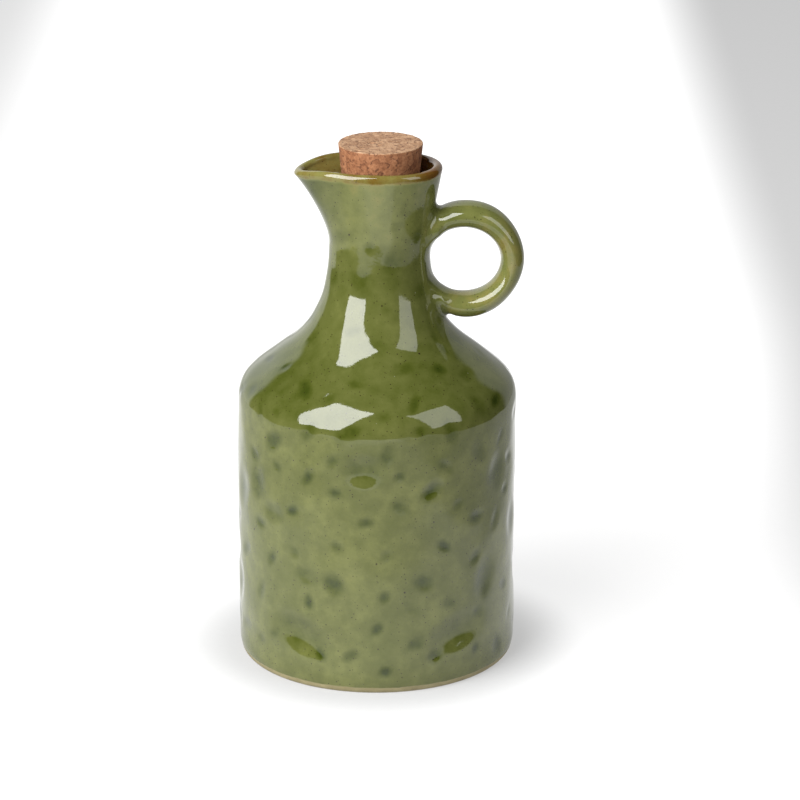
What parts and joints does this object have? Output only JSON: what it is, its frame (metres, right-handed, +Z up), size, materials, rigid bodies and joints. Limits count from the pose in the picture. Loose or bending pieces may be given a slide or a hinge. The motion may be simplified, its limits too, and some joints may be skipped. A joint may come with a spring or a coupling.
{
  "type": "ceramic oil bottle",
  "caption": "Hand-thrown green glazed stoneware oil bottle with a rounded shoulder, a pulled pouring lip, a ring handle on the neck and a tapered cork stopper.",
  "frame": {"origin": "middle of the flat foot, on the table", "axes": "+Z up, +X towards the ring handle, -X towards the pouring lip, -Y towards the viewer of the picture"},
  "size_m": [0.0962, 0.0938, 0.1777],
  "materials": {
    "glaze": "glossy translucent green glaze over buff stoneware, pooled darker in the dents and thin amber at the rim",
    "cork": "bare pressed cork grains"
  },
  "bodies": {
    "root": {"bottle": "glaze", "cork": "cork"}
  },
  "joints": []
}
